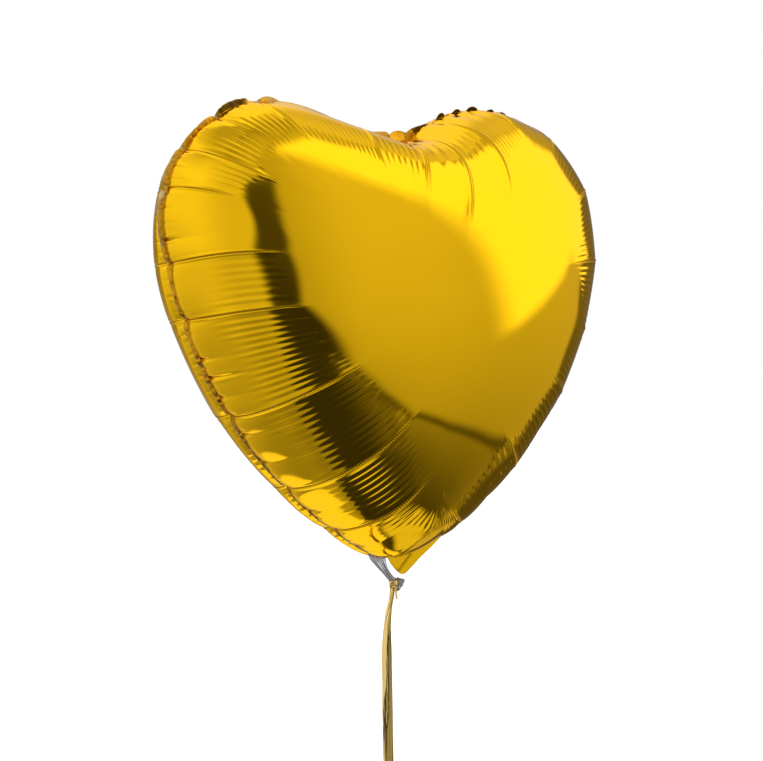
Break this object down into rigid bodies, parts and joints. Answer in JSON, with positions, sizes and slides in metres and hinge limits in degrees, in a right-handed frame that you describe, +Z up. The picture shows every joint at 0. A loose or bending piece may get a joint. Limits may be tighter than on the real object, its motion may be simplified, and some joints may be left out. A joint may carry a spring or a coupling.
{
  "type": "heart-shaped foil balloon",
  "caption": "Inflated heart-shaped metallic foil balloon with a gathered, tied neck and a flat ribbon ending in a hand loop.",
  "frame": {"origin": "middle of the tie on the gathered neck, where the balloon is held", "axes": "+Z up through the heart from the tie to the notch, -Y the way the front panel faces, +X to the front panel's right as seen from the front"},
  "size_m": [0.3598, 0.184, 0.5194],
  "materials": {
    "gold_foil": "mirror-bright gold metallised film with fine ripples",
    "seam_border": "pale gold crimped heat-sealed film",
    "silver_film": "crumpled silver film",
    "valve_film": "clear thin film",
    "gold_ribbon": "glossy metallic gold ribbon with lengthwise streaks"
  },
  "bodies": {
    "balloon": {"front_panel": "gold_foil", "rear_panel": "gold_foil", "edge_seam": "seam_border", "neck_front_film": "silver_film", "neck_rear_film": "silver_film", "valve_front_film": "valve_film", "valve_rear_film": "valve_film", "neck_tail": "silver_film", "ribbon_wraps": "gold_ribbon"},
    "knot": {"ribbon_knot": "gold_ribbon", "ribbon_short_end": "gold_ribbon"},
    "ribbon": {"ribbon": "gold_ribbon"},
    "loop": {"loop_knot": "gold_ribbon", "hand_loop": "gold_ribbon"}
  },
  "joints": [
    {"name": "ribbon_side_swing", "type": "hinge", "parent": "balloon", "child": "knot", "pos_m": [-0.00411, -0.0049, -0.0015], "axis": [0, 1, 0], "range_deg": [-30, 60]},
    {"name": "ribbon_fore_swing", "type": "hinge", "parent": "knot", "child": "ribbon", "pos_m": [-0.00411, -0.0049, -0.0015], "axis": [1, 0, 0], "range_deg": [-60, 20]},
    {"name": "loop_swing", "type": "hinge", "parent": "ribbon", "child": "loop", "pos_m": [-0.01111, -0.0049, -0.1374], "axis": [1, 0, 0], "range_deg": [-80, 80]}
  ]
}
